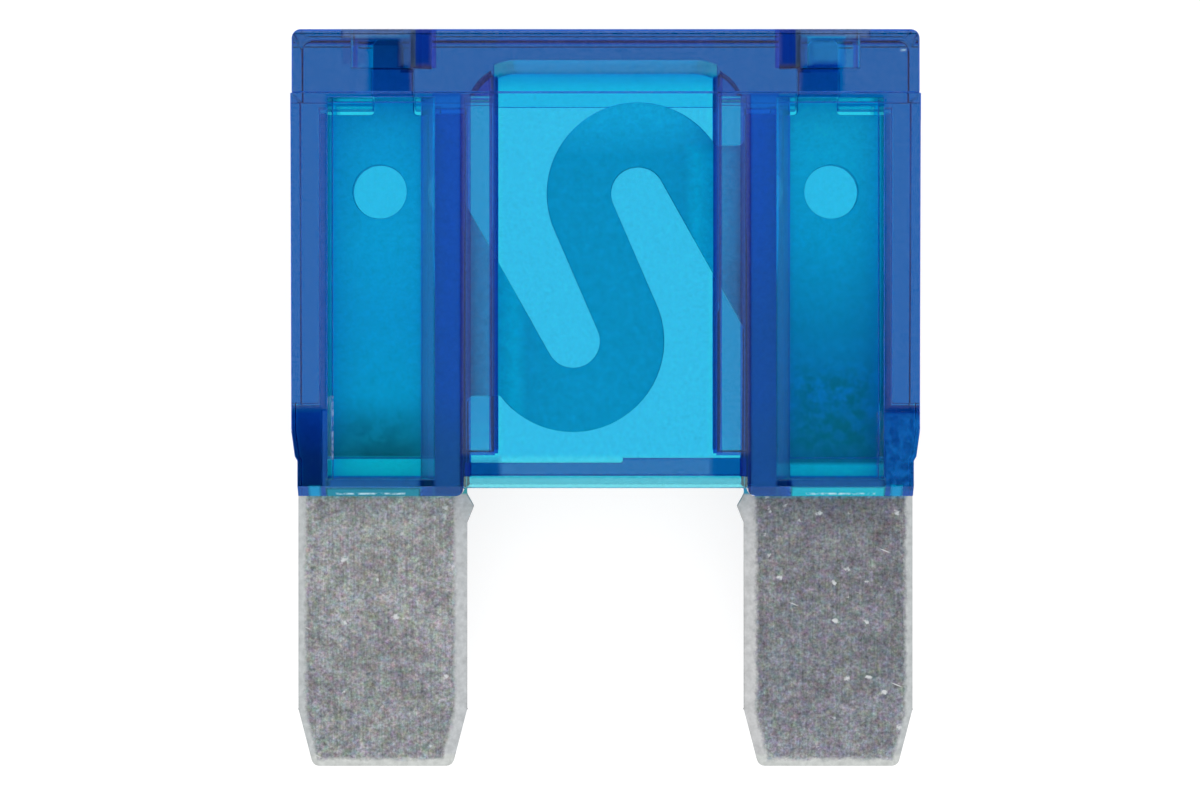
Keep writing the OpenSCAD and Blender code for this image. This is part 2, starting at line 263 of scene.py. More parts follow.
@dataclass(frozen=True)
class Patch:
    """A place whose finish differs from the rest of the piece."""

    zone: Zone
    colour: str
    cover: float = 1.0
    scatter: float = 0.0
    clouded: bool = False

    def mask(self, canvas: Canvas, colours: bool = False, far: Socket | None = None) -> Socket:
        """Adds the patch's mask, broken up by the clouds where the patch is clouded.

        A patch that scatters light keeps its full colour as far as it scatters any, so that it
        has no pale rim.

        Args:
            canvas: The canvas that the patch is painted on.
            colours: Whether the mask is for the colour, and not for the scattering.
            far: The zone's distance, where it is there already.

        Returns:
            The socket that carries the mask.
        """
        grown = colours and self.scatter > 0 and not self.clouded
        mask = self.zone.mask(canvas, self.cover, grown, far)
        if self.clouded:
            mask = add_node(
                canvas.tree,
                "ShaderNodeMath",
                {"operation": "MULTIPLY"},
                {0: mask, 1: canvas.cloud},
            ).outputs[0]
        return mask


def paint(canvas: Canvas, ground: Socket | Colour, patches: tuple[Patch, ...]) -> Socket:
    """Lays patches over a ground, the later over the earlier.

    Args:
        canvas: The canvas.
        ground: What lies under the patches.
        patches: The patches.

    Returns:
        The socket that carries the painted colour.
    """
    for patch in patches:
        settings = {"data_type": "RGBA", OVER_COLOUR: linear(patch.colour)}
        links = {FACTOR: patch.mask(canvas)}
        under = settings if isinstance(ground, tuple) else links
        under[UNDER_COLOUR] = ground
        mixed = add_node(canvas.tree, "ShaderNodeMix", settings, links)
        ground = mixed.outputs[MIXED_COLOUR]
    return ground


def swing(canvas: Canvas, colour: Socket, noise: Socket, spread: float) -> Socket:
    """Makes a colour lighter and darker with a noise.

    Args:
        canvas: The canvas.
        colour: The colour to change.
        noise: The noise, around 0.5.
        spread: The change from the darkest to the lightest.

    Returns:
        The socket that carries the changed colour.
    """
    least, most = NOISE_RANGE
    factor = add_node(
        canvas.tree,
        "ShaderNodeMapRange",
        {
            "From Min": least,
            "From Max": most,
            "To Min": 1 - spread / 2,
            "To Max": 1 + spread / 2,
        },
        {"Value": noise},
    )
    return add_node(
        canvas.tree,
        "ShaderNodeVectorMath",
        {"operation": "SCALE"},
        {0: colour, "Scale": factor.outputs[0]},
    ).outputs[0]


@dataclass(frozen=True)
class ClearPolycarbonate:
    """Injection-moulded blue polycarbonate: polished walls, with its colour in its depth.

    Light is taken up along its way through the plastic, so a thin wall is sky blue and a solid
    rail is navy. The head and the rails, which are solid from front to back, have a faint haze in
    their skin, and the thin floors and window are clear. Slopes and edges catch the light, the
    arch under the chamber is whitish, the foot chamfers carry a painted light band and the sills
    and the left pocket's edge painted highlights, and the moulded skin is very slightly grainy.

    The base colour tints the light that crosses a wall, the specular tint is the strength of the
    skin's reflection, and a transmission under 1 lets a share of the light scatter in the skin.
    """

    # Moulded against polished steel, which gives the eye a glassy skin with colour only in depth
    name: str = "blue polycarbonate, moulded"
    passed: str = "#90F3FA"
    density_per_m: float = 2500.0
    ior: float = 1.585
    # Clouds that break up the clouded patches: the scuff, the painted highlights and the right
    # rail's lower part
    cloud_mm: float = 0.32
    # The skin's grain is finer than a pixel, and is drawn this coarse so that it shows
    grain_mm: float = 0.16
    grain_detail: float = 1.0
    grain_shade: float = 0.12
    skin_shade: float = 0.5
    gloss: tuple[float, float] = (0.012, 0.03)
    ripple_mm: float = 0.001
    ripple_strength: float = 0.3
    clear_skin: str = "#303A60"
    edge_skin: str = "#808CC8"
    edge_colour: str = "#3A90FF"
    edge_scatter: float = 0.2
    # How nearly a face looks along an axis where it begins to count as straight, and counts fully
    straight_from: float = 0.95
    straight_full: float = 0.995
    # Strength of the skin's reflection, where it isn't that of the clear skin
    haze: tuple[Patch, ...] = (
        Patch(Zone((12.98, 15.0), (-0.25, 20.0)), "#B8B8B8"),
        Patch(Zone((-1.0, 15.0), (15.2, 20.0)), "#BCBCC0"),
        Patch(Zone((5.2, 15.0), (14.3, 20.0)), "#BCBCC0"),
        Patch(Zone((-1.0, 5.0), (16.3, 20.0)), "#BCBCFF"),
        Patch(Zone((5.2, 6.7), (-2.4, 14.4)), "#B8B8B8"),
        Patch(Zone((6.7, 7.95), (-5.0, 14.2)), "#4C6A98"),
        Patch(Zone((8.1, 9.1), (15.6, 17.1)), "#303A60"),
        Patch(Zone((9.05, 11.0), (14.3, 17.0)), "#303A60"),
        Patch(Zone((-4.9, 4.9), (-3.42, -2.55), Sides.RIGHT, 0.15), "#B8B8B8"),
    )
    # Tint and scattering of the walls, where they aren't those of clear plastic
    patches: tuple[Patch, ...] = (
        # The window, and the shade under its upper end
        Patch(Zone((-5.05, 5.05), (-2.6, 15.0), Sides.RIGHT, 0.15), "#FFF4FF"),
        Patch(Zone((-5.3, 5.3), (15.55, 17.0), Sides.RIGHT, 0.45, INNER_FACES), "#9C6CDA"),
        # The pockets' slopes and the rails beside them catch the light
        Patch(Zone((7.95, 8.6), (-3.5, 14.1), fade_mm=0.06, z=FRONT), "#489DFF", scatter=0.4),
        Patch(Zone((6.72, 7.9), (-4.3, 14.2), z=FRONT), "#34A0FF", scatter=0.13),
        Patch(Zone((12.98, 14.8), (-0.35, 14.2), z=FRONT), "#FFE6FF"),
        Patch(
            Zone((12.95, 14.8), (-4.05, -0.5), Sides.RIGHT, 0.05, FRONT), "#1A95F4", scatter=0.11
        ),
        Patch(
            Zone((12.9, 14.8), (-4.05, -0.6), Sides.RIGHT, 0.2, FRONT),
            "#1A95F4",
            scatter=0.25,
            clouded=True,
        ),
        Patch(Zone((13.15, 14.7), (-4.2, -0.4), Sides.LEFT, z=FRONT), "#90A0FF"),
        # A painted highlight at the foot of each outer rail
        Patch(Zone((13.25, 13.7), (-4.4, -3.88), fade_mm=0.06, z=FRONT), "#00C4FF", scatter=0.38),
        # A painted highlight beside the left pocket's outer edge
        Patch(
            Zone((12.92, 13.1), (-3.9, -0.4), Sides.LEFT, 0.05, FRONT), "#3A95F8", scatter=0.15
        ),
        # Corners of the ribs and of the chamber
        Patch(
            Zone((5.2, 6.6), (-2.4, -2.15), fade_mm=0.05, z=(5.9, 7.6)), "#2A50C0", scatter=0.3
        ),
        Patch(
            Zone((6.3, 6.66), (-4.2, 14.2), fade_mm=0.05, z=FRONT_WALL), "#2A68C8", scatter=0.14
        ),
        Patch(
            Zone((5.05, 5.33), (-2.3, 15.0), fade_mm=0.05, z=FRONT_WALL), "#2A68C8", scatter=0.14
        ),
        Patch(
            Zone((5.3, 6.5), (-2.2, -1.6), fade_mm=0.05, z=(5.5, 7.5)), "#FFFAFF", scatter=0.01
        ),
        # The wells
        Patch(Zone((7.94, 8.86), (15.55, 17.2), z=FRONT), "#0450D8", scatter=0.22),
        Patch(Zone((8.9, 12.1), (16.85, 17.2), z=FRONT), "#7290BC", scatter=0.25),
        Patch(Zone((8.9, 9.5), (15.6, 17.0), z=FRONT), "#6A90BC", scatter=0.15),
        # A painted reflection on the right probe tab
        Patch(Zone((9.5, 10.9), (15.7, 16.7), Sides.RIGHT, 0.15, FRONT), "#50D0FF", scatter=0.16),
        Patch(Zone((11.0, 12.15), (15.6, 17.0), Sides.LEFT, z=FRONT), "#D8CCE8"),
        # The sills, the arch under the chamber and the bar's ends, with painted light on the feet
        Patch(Zone((8.65, 12.85), (-4.0, -3.6), z=FRONT), "#50B8F0", scatter=0.13),
        # Painted light band on the foot chamfers, lighter on the right
        Patch(Zone((8.65, 12.9), (-4.4, -4.02), Sides.LEFT, 0.05, FRONT), "#1494A8", scatter=0.6),
        Patch(
            Zone((8.65, 12.9), (-4.4, -3.95), Sides.RIGHT, 0.05, FRONT), "#14BCCF", scatter=0.65
        ),
        # Painted highlight along the sills, broken up by clouds
        Patch(
            Zone((9.3, 12.5), (-4.27, -4.2), fade_mm=0.03, z=FRONT),
            "#D0F8FF",
            scatter=0.6,
            clouded=True,
        ),
        Patch(Zone((-6.5, 6.5), (-4.0, -3.5), Sides.RIGHT, 0.05), "#D0F4F4", scatter=0.11),
        Patch(Zone((4.9, 6.6), (-3.42, -2.55), Sides.LEFT, 0.15, FRONT_WALL), "#FFC2DA"),
        Patch(Zone((4.9, 6.6), (-3.42, -2.55), Sides.RIGHT, 0.15, FRONT_WALL), "#FFE4EE"),
        # Behind the holes, and the walls in front of the ribs
        Patch(Zone((8.65, 12.85), (7.0, 13.0), z=(2.0, 4.2)), "#FFECFF"),
        Patch(Zone((5.4, 6.5), (-0.9, 14.9), z=FRONT_WALL), "#FFF4FC"),
        Patch(Zone((5.4, 6.5), (-2.2, 6.5), Sides.RIGHT, z=FRONT_WALL), "#FFE1EE"),
        # A painted highlight along the left pocket's outer edge, broken up by clouds, and a scuff
        # at the head's right corner
        Patch(
            Zone((12.8, 12.87), (-2.7, 0.3), Sides.LEFT, 0.02, FRONT),
            "#C8E4FF",
            scatter=0.6,
            clouded=True,
        ),
        Patch(
            Zone((13.65, 13.85), (16.2, 16.3), Sides.RIGHT, 0.04, FRONT),
            "#90E8F4",
            scatter=0.4,
            clouded=True,
        ),
    )

    def rounded(self, tree: Tree) -> Socket:
        """Adds a mask of the rounded edges, which face along none of the fuse's three axes.

        Args:
            tree: The material's tree.

        Returns:
            The socket that carries the mask.
        """
        facing = add_node(tree, "ShaderNodeTexCoord").outputs["Normal"]
        straight = add_node(tree, "ShaderNodeVectorMath", {"operation": "ABSOLUTE"}, {0: facing})
        axes = add_node(tree, "ShaderNodeSeparateXYZ", links={0: straight.outputs[0]})
        most = axes.outputs[0]
        for other in (axes.outputs[1], axes.outputs[2]):
            most = add_node(
                tree, "ShaderNodeMath", {"operation": "MAXIMUM"}, {0: most, 1: other}
            ).outputs[0]
        return add_node(
            tree,
            "ShaderNodeMapRange",
            {
                "From Min": self.straight_from,
                "From Max": self.straight_full,
                "To Min": 1.0,
                "To Max": 0.0,
            },
            {"Value": most},
        ).outputs[0]

    def walls(self, canvas: Canvas, rounded: Socket) -> tuple[Socket, Socket]:
        """Paints what the walls do to the light: plain patches, then edges, then scattering ones.

        Args:
            canvas: The canvas.
            rounded: The mask of the rounded edges.

        Returns:
            The sockets that carry the colour and the share of light that goes through.
        """
        tree = canvas.tree
        plain = tuple(p for p in self.patches if not p.scatter)
        colour = add_node(
            tree,
            "ShaderNodeMix",
            {"data_type": "RGBA", OVER_COLOUR: linear(self.edge_colour)},
            {FACTOR: rounded, UNDER_COLOUR: paint(canvas, linear(WHITE), plain)},
        ).outputs[MIXED_COLOUR]
        clear = add_node(
            tree,
            "ShaderNodeMapRange",
            {"To Min": 1.0, "To Max": 1 - self.edge_scatter},
            {"Value": rounded},
        ).outputs[0]
        for patch in (p for p in self.patches if p.scatter):
            far = patch.zone.distance(canvas)
            colour = add_node(
                tree,
                "ShaderNodeMix",
                {"data_type": "RGBA", OVER_COLOUR: linear(patch.colour)},
                {FACTOR: patch.mask(canvas, True, far), UNDER_COLOUR: colour},
            ).outputs[MIXED_COLOUR]
            clear = add_node(
                tree,
                "ShaderNodeMix",
                {"data_type": "FLOAT", OVER_VALUE: 1 - patch.scatter},
                {FACTOR: patch.mask(canvas, False, far), UNDER_VALUE: clear},
            ).outputs[MIXED_VALUE]
        return colour, clear

    def build(self) -> bpy.types.Material:
        """Makes the plastic.

        Returns:
            The material.
        """
        material, tree = empty_material(self.name)
        canvas = Canvas.stretch(tree, self.cloud_mm)
        grain = add_node(
            tree,
            "ShaderNodeTexNoise",
            {"Scale": 1 / (self.grain_mm * MM), "Detail": self.grain_detail},
            {"Vector": canvas.place},
        ).outputs[0]
        low, high = self.gloss
        gloss = add_node(
            tree, "ShaderNodeMapRange", {"To Min": low, "To Max": high}, {"Value": grain}
        )
        ripple = add_node(
            tree,
            "ShaderNodeBump",
            {"Strength": self.ripple_strength, "Distance": self.ripple_mm * MM},
            {"Height": grain},
        )
        rounded = self.rounded(tree)
        colour, clear = self.walls(canvas, rounded)
        skin = add_node(
            tree,
            "ShaderNodeMix",
            {"data_type": "RGBA", OVER_COLOUR: linear(self.edge_skin)},
            {FACTOR: rounded, UNDER_COLOUR: paint(canvas, linear(self.clear_skin), self.haze)},
        ).outputs[MIXED_COLOUR]
        body = add_node(
            tree,
            "ShaderNodeBsdfPrincipled",
            {"IOR": self.ior},
            {
                "Base Color": swing(canvas, colour, grain, self.grain_shade),
                "Roughness": gloss.outputs[0],
                "Transmission Weight": clear,
                "Specular Tint": swing(canvas, skin, grain, self.skin_shade),
                "Normal": ripple.outputs[0],
            },
        )
        depth = add_node(
            tree,
            "ShaderNodeVolumeAbsorption",
            {"Color": linear(self.passed), "Density": self.density_per_m},
        )
        add_node(
            tree,
            "ShaderNodeOutputMaterial",
            links={"Surface": body.outputs[0], "Volume": depth.outputs[0]},
        )
        return material


@dataclass(frozen=True)
class StampedZinc:
    """Zinc strip, rolled, stamped and tarnished: dull mottled grey, with a painted highlight on
    its coined edges.

    Inside the housing the metal carries painted shade and light: it is darker low down, with a
    darker shade across the pockets' lower part and lighter bands at their foot, and lighter toward
    the head and on the right probe tab. Outside it has gone dull, with pink and green-grey
    mottling, fine rolling lines, bright specks and short scratches, and a painted highlight runs
    along the coined edges.
    """

    # Soft and dull, and it tarnishes quickly, which gives the eye a mottled grey; its bright edges
    # are a painted highlight
    name: str = "zinc, rolled and stamped"
    cloud_mm: float = 0.7
    # The outline that the painted highlight band on the coined edges follows, and the band's width
    # with its ragged inner edge
    highlight_x_mm: float = 10.68
    blade_half_mm: float = 4.0
    highlight_tip_mm: float = -17.36
    tip_half_mm: float = 3.3
    tip_lean: float = 0.7 / 2.7
    highlight_band_mm: tuple[float, float] = (0.72, 0.92)
    ragged_mm: float = 0.7
    # Size of each pattern, with how much lighter and darker it makes the metal
    mottle_mm: float = 0.42
    mottle_detail: float = 6.0
    mottle_roughness: float = 0.75
    mottle_shade: float = 0.85
    mottle_shade_inside: float = 0.34
    grain_mm: float = 0.13
    grain_detail: float = 2.0
    grain_shade: float = 0.85
    blotch_mm: float = 2.2
    blotch_shade: float = 0.42
    # Rolling lines are finer than a pixel, and are drawn this wide so that they show
    line_mm: tuple[float, float] = (0.1, 2.4)
    line_depth_mm: float = 1.0
    line_roughness: float = 0.6
    line_shade: float = 0.4
    # The pink and green cast: the least of each colour, and what the noise adds to it
    tint_mm: float = 0.3
    cast_least: float = 0.6
    cast_swing: float = 0.8
    # How much the painted edge highlight varies in brightness
    edge_shade: float = 0.35
    # Bright marks, with half their size as a share of a cell
    speck_mm: float = 0.8
    speck_half: float = 0.2
    shaken_mm: float = 0.5
    scratch_mm: tuple[float, float] = (3.0, 0.3)
    scratch_half: float = 0.11
    scratch_deg: float = -22.0
    # The share of cells without a mark on the left blade and on the right one
    bare_cells: tuple[float, float] = (0.82, 0.55)
    # Lower and upper end of the element
    low_mm: float = -17.3
    high_mm: float = 17.3
    dulled: tuple[float, float] = (0.42, 0.6)
    relief_mm: float = 0.006
    relief_strength: float = 0.4
    left_blade: Zone = Zone((6.0, 20.0), (-20.0, 20.0), Sides.LEFT, 0.2)
    right_blade: Zone = Zone((6.0, 20.0), (-20.0, 20.0), Sides.RIGHT, 0.2)
    outside: Zone = Zone((-20.0, 20.0), (-20.0, -4.35), Sides.RIGHT, 0.05)
    # Colour along the height, for each blade and for the link. Inside the housing this holds
    # painted shade and light: darker low down, lighter toward the head, and the right probe tab
    # lighter than the left, a painted reflection
    left: Stops = (
        (-17.25, "#86898C"),
        (-12.0, "#828487"),
        (-4.6, "#8F9192"),
        (-4.3, "#3F9FA2"),
        (-2.6, "#3F9FA2"),
        (-1.2, "#42B4C8"),
        (0.35, "#44D4F1"),
        (4.0, "#58D3F7"),
        (7.7, "#65DBFA"),
        (14.3, "#68D7FD"),
        (14.5, "#90B5E8"),
        (15.6, "#90B5E8"),
        (15.75, "#7E9FCD"),
        (17.25, "#7E9FCD"),
    )
    right: Stops = (
        (-17.25, "#808288"),
        (-13.0, "#74777D"),
        (-4.6, "#717277"),
        (-4.3, "#3797B9"),
        (-2.0, "#3797B9"),
        (0.35, "#379FD7"),
        (3.4, "#37AFD5"),
        (7.7, "#4DD2F1"),
        (13.2, "#7EE8FF"),
        (14.3, "#7EE8FF"),
        (14.5, "#ADC2EE"),
        (17.25, "#ADC2EE"),
    )
    link: Stops = (
        (-1.4, "#3FD1E3"),
        (11.6, "#3FD1E3"),
        (13.4, "#7BEEFA"),
        (14.2, "#89F2FA"),
    )
    # Painted shade and light on the metal inside the housing: a dark green-grey shade across the
    # pockets' lower part, lighter bands at the pockets' foot, and a lighter stretch of the link
    # beside the ribs
    painted_shading: tuple[Patch, ...] = (
        Patch(Zone((9.3, 11.4), (-2.9, -2.2), Sides.LEFT, 0.5), "#30737D", 0.7),
        Patch(Zone((9.6, 12.0), (-2.6, -0.9), Sides.LEFT, 0.7), "#2C8088", 0.5, clouded=True),
        Patch(Zone((8.9, 12.7), (-2.6, 1.6), Sides.RIGHT, 0.9), "#288A88", 0.75, clouded=True),
        Patch(Zone((8.7, 12.95), (-4.3, -2.6), Sides.LEFT), "#38FFFF"),
        Patch(Zone((4.0, 6.4), (-1.5, 12.0), fade_mm=0.3), "#3CF2FA"),
        Patch(Zone((8.7, 12.95), (-4.3, -2.9), Sides.RIGHT), "#38EFFF"),
    )
    # Painted highlight on the coined edges: its colour, then on the left blade, the right blade
    # and the tips
    edge_highlight: str = "#ACB0B1"
    edges: tuple[Patch, ...] = (
        Patch(Zone((5.0, 8.0), (-20.0, 0.0), Sides.LEFT), "#AEB1B3"),
        Patch(Zone((5.0, 8.0), (-20.0, 0.0), Sides.RIGHT), "#B3B4B5"),
        Patch(Zone((5.0, 16.0), (-20.0, -16.7)), "#B7BAB8"),
    )
    rubbed_colour: str = "#BDC0C2"

    def along(self, tree: Tree, height: Socket, stops: Stops) -> Socket:
        """Adds a colour that changes from the blade tips to the head.

        Args:
            tree: The material's tree.
            height: How far up the fuse a point lies, from 0 to 1.
            stops: Heights in millimetres with their colours.

        Returns:
            The socket that carries the colour.
        """
        ramp = add_node(tree, "ShaderNodeValToRGB", links={0: height})
        points = ramp.color_ramp.elements
        span = self.high_mm - self.low_mm
        for point, (level, code) in zip((points[0], points[1]), (stops[0], stops[-1])):
            point.position = (level - self.low_mm) / span
            point.color = linear(code)
        for level, code in stops[1:-1]:
            point = points.new((level - self.low_mm) / span)
            point.color = linear(code)
        return ramp.outputs[0]

    def edge_distance(self, canvas: Canvas) -> Socket:
        """Adds the distance from the painted highlight band's middle line to the blade's outline,
        in metres.

        Args:
            canvas: The canvas.

        Returns:
            The socket that carries the distance, on both blades.
        """
        tree = canvas.tree
        parts = add_node(tree, "ShaderNodeSeparateXYZ", links={0: canvas.folded})
        offset = add_node(
            tree,
            "ShaderNodeMath",
            {"operation": "SUBTRACT", 1: self.highlight_x_mm * MM},
            {0: parts.outputs[0]},
        )
        aside = add_node(tree, "ShaderNodeMath", {"operation": "ABSOLUTE"}, {0: offset.outputs[0]})
        to_side = add_node(
            tree,
            "ShaderNodeMath",
            {"operation": "SUBTRACT", 0: self.blade_half_mm * MM},
            {1: aside.outputs[0]},
        )
        to_tip = add_node(
            tree,
            "ShaderNodeMath",
            {"operation": "SUBTRACT", 1: self.highlight_tip_mm * MM},
            {0: parts.outputs[1]},
        )
        leaning = add_node(
            tree,
            "ShaderNodeMath",
            {"operation": "MULTIPLY_ADD", 1: self.tip_lean, 2: self.tip_half_mm * MM},
            {0: to_tip.outputs[0]},
        )
        to_lean = add_node(
            tree,
            "ShaderNodeMath",
            {"operation": "SUBTRACT"},
            {0: leaning.outputs[0], 1: aside.outputs[0]},
        )
        nearest = to_side.outputs[0]
        for other in (to_tip, to_lean):
            nearest = add_node(
                tree, "ShaderNodeMath", {"operation": "MINIMUM"}, {0: nearest, 1: other.outputs[0]}
            ).outputs[0]
        return nearest

    def specks(self, canvas: Canvas, place: Socket, scale: float, size: float) -> Socket:
        """Adds bright marks in some cells of a cell pattern, more of them on the right blade.

        Args:
            canvas: The canvas.
            place: The coordinates of the cell pattern.
            scale: Cells for each unit of these coordinates.
            size: Half the size of a mark, as a share of a cell.

        Returns:
            The socket that carries the marks' mask.
        """
        tree = canvas.tree
        cells = add_node(tree, "ShaderNodeTexVoronoi", {"Scale": scale}, {"Vector": place})
        near = add_node(
            tree,
            "ShaderNodeMapRange",
            {"From Min": size / 2, "From Max": size, "To Min": 1.0, "To Max": 0.0},
            {"Value": cells.outputs["Distance"]},
        )
        draw = add_node(tree, "ShaderNodeSeparateXYZ", links={0: cells.outputs["Color"]})
        parts = add_node(tree, "ShaderNodeSeparateXYZ", links={0: canvas.place})
        left, right = self.bare_cells
        rare = add_node(
            tree,
            "ShaderNodeMapRange",
            {"From Min": -MM, "From Max": MM, "To Min": left, "To Max": right},
            {"Value": parts.outputs[0]},
        )
        chosen = add_node(
            tree,
            "ShaderNodeMath",
            {"operation": "GREATER_THAN"},
            {0: draw.outputs[0], 1: rare.outputs[0]},
        )
        return add_node(
            tree,
            "ShaderNodeMath",
            {"operation": "MULTIPLY"},
            {0: near.outputs[0], 1: chosen.outputs[0]},
        ).outputs[0]

    def tarnish_and_highlight(self, canvas: Canvas, colour: Socket, lines: Socket, mottle: Socket) -> Socket:
        """Adds the mottling, the rolling lines, the marks and the painted highlight on the bare
        blades' edges.

        Args:
            canvas: The canvas.
            colour: The plain colour of the metal.
            lines: The noise of the rolling lines.
            mottle: The noise of the mottling.

        Returns:
            The socket that carries the tarnished colour.
        """
        tree = canvas.tree
        fields = {}
        for label, size, more in (
            ("blotch", self.blotch_mm, {}),
            ("tint", self.tint_mm, {}),
            ("grain", self.grain_mm, {"Detail": self.grain_detail}),
        ):
            fields[label] = add_node(
                tree,
                "ShaderNodeTexNoise",
                {"Scale": 1 / (size * MM), **SOFT_NOISE, **more},
                {"Vector": canvas.place},
            )
        toned = colour
        for noise, shade in (
            (fields["blotch"].outputs[0], self.blotch_shade),
            (mottle, self.mottle_shade),
            (fields["grain"].outputs[0], self.grain_shade),
            (lines, self.line_shade),
        ):
            toned = swing(canvas, toned, noise, shade)
        cast = add_node(
            tree,
            "ShaderNodeVectorMath",
            {
                "operation": "MULTIPLY_ADD",
                1: (self.cast_swing, self.cast_swing, self.cast_swing),
                2: (self.cast_least, self.cast_least, self.cast_least),
            },
            {0: fields["tint"].outputs["Color"]},
        )
        toned = add_node(
            tree,
            "ShaderNodeVectorMath",
            {"operation": "MULTIPLY"},
            {0: toned, 1: cast.outputs[0]},
        ).outputs[0]
        long, short = self.scratch_mm
        aslant = add_node(
            tree,
            "ShaderNodeMapping",
            {
                "vector_type": "TEXTURE",
                "Rotation": (0.0, 0.0, math.radians(self.scratch_deg)),
                "Scale": (long * MM, short * MM, long * MM),
            },
            {"Vector": canvas.place},
        )
        shake = self.shaken_mm * MM
        shaken = add_node(
            tree,
            "ShaderNodeVectorMath",
            {"operation": "MULTIPLY_ADD", 1: (shake, shake, shake)},
            {0: fields["tint"].outputs["Color"], 2: canvas.place},
        )
        for mask in (
            self.specks(canvas, shaken.outputs[0], 1 / (self.speck_mm * MM), self.speck_half),
            self.specks(canvas, aslant.outputs[0], 1.0, self.scratch_half),
        ):
            toned = add_node(
                tree,
                "ShaderNodeMix",
                {"data_type": "RGBA", OVER_COLOUR: linear(self.rubbed_colour)},
                {FACTOR: mask, UNDER_COLOUR: toned},
            ).outputs[MIXED_COLOUR]
        # The painted highlight band along the coined edges, with a ragged inner edge
        ragged = add_node(
            tree,
            "ShaderNodeMath",
            {"operation": "MULTIPLY_ADD", 1: self.ragged_mm * MM},
            {0: mottle, 2: self.edge_distance(canvas)},
        )
        whole, gone = self.highlight_band_mm
        highlit_band = add_node(
            tree,
            "ShaderNodeMapRange",
            {"From Min": whole * MM, "From Max": gone * MM, "To Min": 1.0, "To Max": 0.0},
            {"Value": ragged.outputs[0]},
        )
        bright = paint(canvas, linear(self.edge_highlight), self.edges)
        bright = swing(canvas, bright, fields["tint"].outputs[0], self.edge_shade)
        return add_node(
            tree,
            "ShaderNodeMix",
            {"data_type": "RGBA"},
            {FACTOR: highlit_band.outputs[0], UNDER_COLOUR: toned, OVER_COLOUR: bright},
        ).outputs[MIXED_COLOUR]

    def build(self) -> bpy.types.Material:
        """Makes the metal.

        Returns:
            The material.
        """
        material, tree = empty_material(self.name)
        canvas = Canvas.stretch(tree, self.cloud_mm)
        parts = add_node(tree, "ShaderNodeSeparateXYZ", links={0: canvas.place})
        height = add_node(
            tree,
            "ShaderNodeMapRange",
            {"From Min": self.low_mm * MM, "From Max": self.high_mm * MM},
            {"Value": parts.outputs[1]},
        ).outputs[0]
        mottle = add_node(
            tree,
            "ShaderNodeTexNoise",
            {
                "Scale": 1 / (self.mottle_mm * MM),
                "Detail": self.mottle_detail,
                "Roughness": self.mottle_roughness,
            },
            {"Vector": canvas.place},
        ).outputs[0]
        cell = (*self.line_mm, self.line_depth_mm)
        stretched = add_node(
            tree,
            "ShaderNodeMapping",
            {"Scale": tuple(1 / (size * MM) for size in cell)},
            {"Vector": canvas.place},
        )
        lines = add_node(
            tree,
            "ShaderNodeTexNoise",
            {**SOFT_NOISE, "Scale": 1.0, "Roughness": self.line_roughness},
            {"Vector": stretched.outputs[0]},
        ).outputs[0]
        colour = self.along(tree, height, self.link)
        for stops, blade in ((self.left, self.left_blade), (self.right, self.right_blade)):
            colour = add_node(
                tree,
                "ShaderNodeMix",
                {"data_type": "RGBA"},
                {
                    FACTOR: blade.mask(canvas),
                    UNDER_COLOUR: colour,
                    OVER_COLOUR: self.along(tree, height, stops),
                },
            ).outputs[MIXED_COLOUR]
        # Painted shade and light on the metal inside the housing
        lit_and_shaded = paint(canvas, colour, self.painted_shading)
        colour = swing(canvas, lit_and_shaded, mottle, self.mottle_shade_inside)
        colour = add_node(
            tree,
            "ShaderNodeMix",
            {"data_type": "RGBA"},
            {
                FACTOR: self.outside.mask(canvas),
                UNDER_COLOUR: colour,
                OVER_COLOUR: self.tarnish_and_highlight(canvas, colour, lines, mottle),
            },
        ).outputs[MIXED_COLOUR]
        low, high = self.dulled
        dull = add_node(
            tree, "ShaderNodeMapRange", {"To Min": low, "To Max": high}, {"Value": mottle}
        )
        relief = add_node(
            tree,
            "ShaderNodeBump",
            {"Strength": self.relief_strength, "Distance": self.relief_mm * MM},
            {"Height": lines},
        )
        body = add_node(
            tree,
            "ShaderNodeBsdfPrincipled",
            {"Metallic": 1.0},
            {"Base Color": colour, "Roughness": dull.outputs[0], "Normal": relief.outputs[0]},
        )
        add_node(tree, "ShaderNodeOutputMaterial", links={"Surface": body.outputs[0]})
        return material


